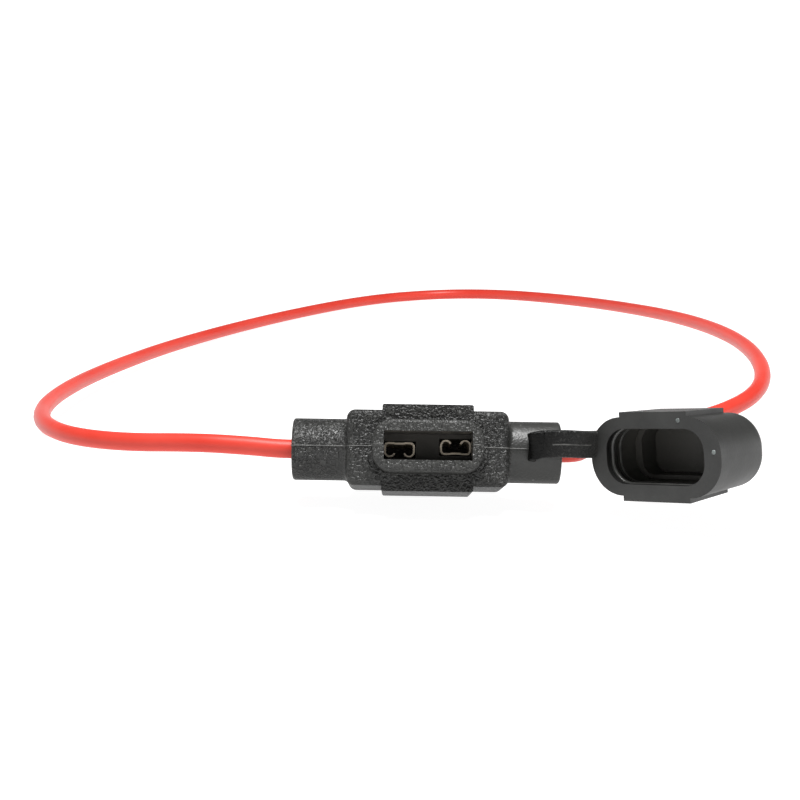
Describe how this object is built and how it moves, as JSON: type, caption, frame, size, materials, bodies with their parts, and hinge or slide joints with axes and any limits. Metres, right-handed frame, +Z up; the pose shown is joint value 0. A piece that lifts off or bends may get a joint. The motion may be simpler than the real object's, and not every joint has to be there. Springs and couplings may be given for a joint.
{
  "type": "mini blade fuse holder",
  "caption": "Inline mini blade fuse holder: grainy black moulded body with a fuse pocket and spring terminals, a tethered push-on cap and a closed loop of red wire.",
  "frame": {"origin": "centre of the base of the holder and its open cap, wire left out, on the surface that they lie on", "axes": "+X along the body's axis towards the tethered cap, -Y the side that the fuse pocket opens to, +Z up from the surface it lies on"},
  "size_m": [0.1277, 0.2257, 0.0168],
  "materials": {
    "body": "matt black moulding with a fine spark-eroded grain",
    "carrier": "smooth satin near-black, duller at the pocket's floor",
    "terminal": "tinned, pale, golden at the cut edges",
    "wire_core": "stranded copper, crimped",
    "wire_jacket": "satin red insulation",
    "strap": "matt flexible black with the body's grain",
    "cap": "smooth satin dark grey, soft"
  },
  "bodies": {
    "holder": {"holder_body": "body", "terminal_carrier": "carrier", "terminal_left": "terminal", "terminal_right": "terminal", "wire_end_left": "wire_core", "wire_end_right": "wire_core", "wire_loop": "wire_jacket"},
    "tether": {"strap": "strap"},
    "tip": {"strap_tip": "strap"},
    "cap": {"cap": "cap"}
  },
  "joints": [
    {"name": "cap_swing", "type": "hinge", "parent": "holder", "child": "tether", "pos_m": [0.00155, -0.00006, 0.0093], "axis": [-0.1202, -0.2072, -0.9709], "range_deg": [0, 144.7], "stiffness_Nm_per_rad": 0.002, "deforming": ["strap", "strap_tip"]},
    {"name": "cap_droop", "type": "hinge", "parent": "tether", "child": "tip", "pos_m": [0.00695, -0.00262, 0.01042], "axis": [0.4471, 0.8177, 0.3626], "range_deg": [0, 16.72], "stiffness_Nm_per_rad": 0.002, "deforming": ["strap", "strap_tip"]},
    {"name": "cap_seat", "type": "slide", "parent": "tip", "child": "cap", "axis": [-0.698, -0.7134, 0.063], "range_m": [0, 0.005], "stiffness_N_per_m": 20, "deforming": ["strap_tip"]}
  ],
  "couplings": [
    {"joint": "cap_droop", "follows": "cap_swing", "ratio": 0.11554}
  ]
}
